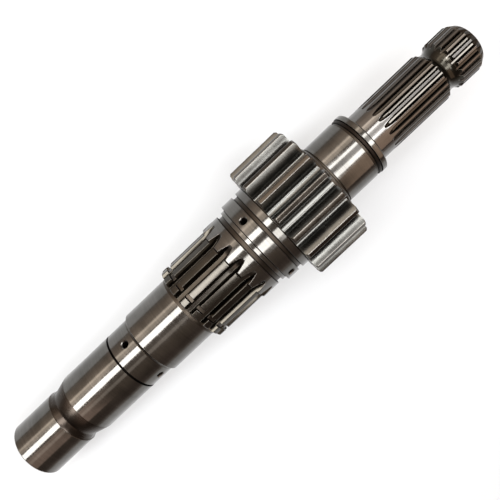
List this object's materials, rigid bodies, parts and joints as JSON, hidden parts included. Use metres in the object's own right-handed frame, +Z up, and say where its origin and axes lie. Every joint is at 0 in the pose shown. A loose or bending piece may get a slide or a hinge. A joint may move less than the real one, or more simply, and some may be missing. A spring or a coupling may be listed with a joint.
{
  "type": "power take-off shaft",
  "caption": "One-piece steel power take-off shaft with ground journals, a clutch spline, a spur gear, oil grooves and a fine output spline with a round lock groove.",
  "frame": {"origin": "middle of the bounding box's underside, on the floor that the shaft lies on", "axes": "+X from the plain input end towards the output spline, +Z up; the shaft's axis rises towards +X, because the shaft lies on its input rim and on the wider gear"},
  "size_m": [0.3816, 0.0862, 0.0888],
  "materials": {
    "hardened_ground_steel": "case-hardened steel: ground journals and tooth tips, fine-turned grooves, cut and hardened tooth gaps"
  },
  "bodies": {
    "root": {"pto_shaft": "hardened_ground_steel"}
  },
  "joints": []
}
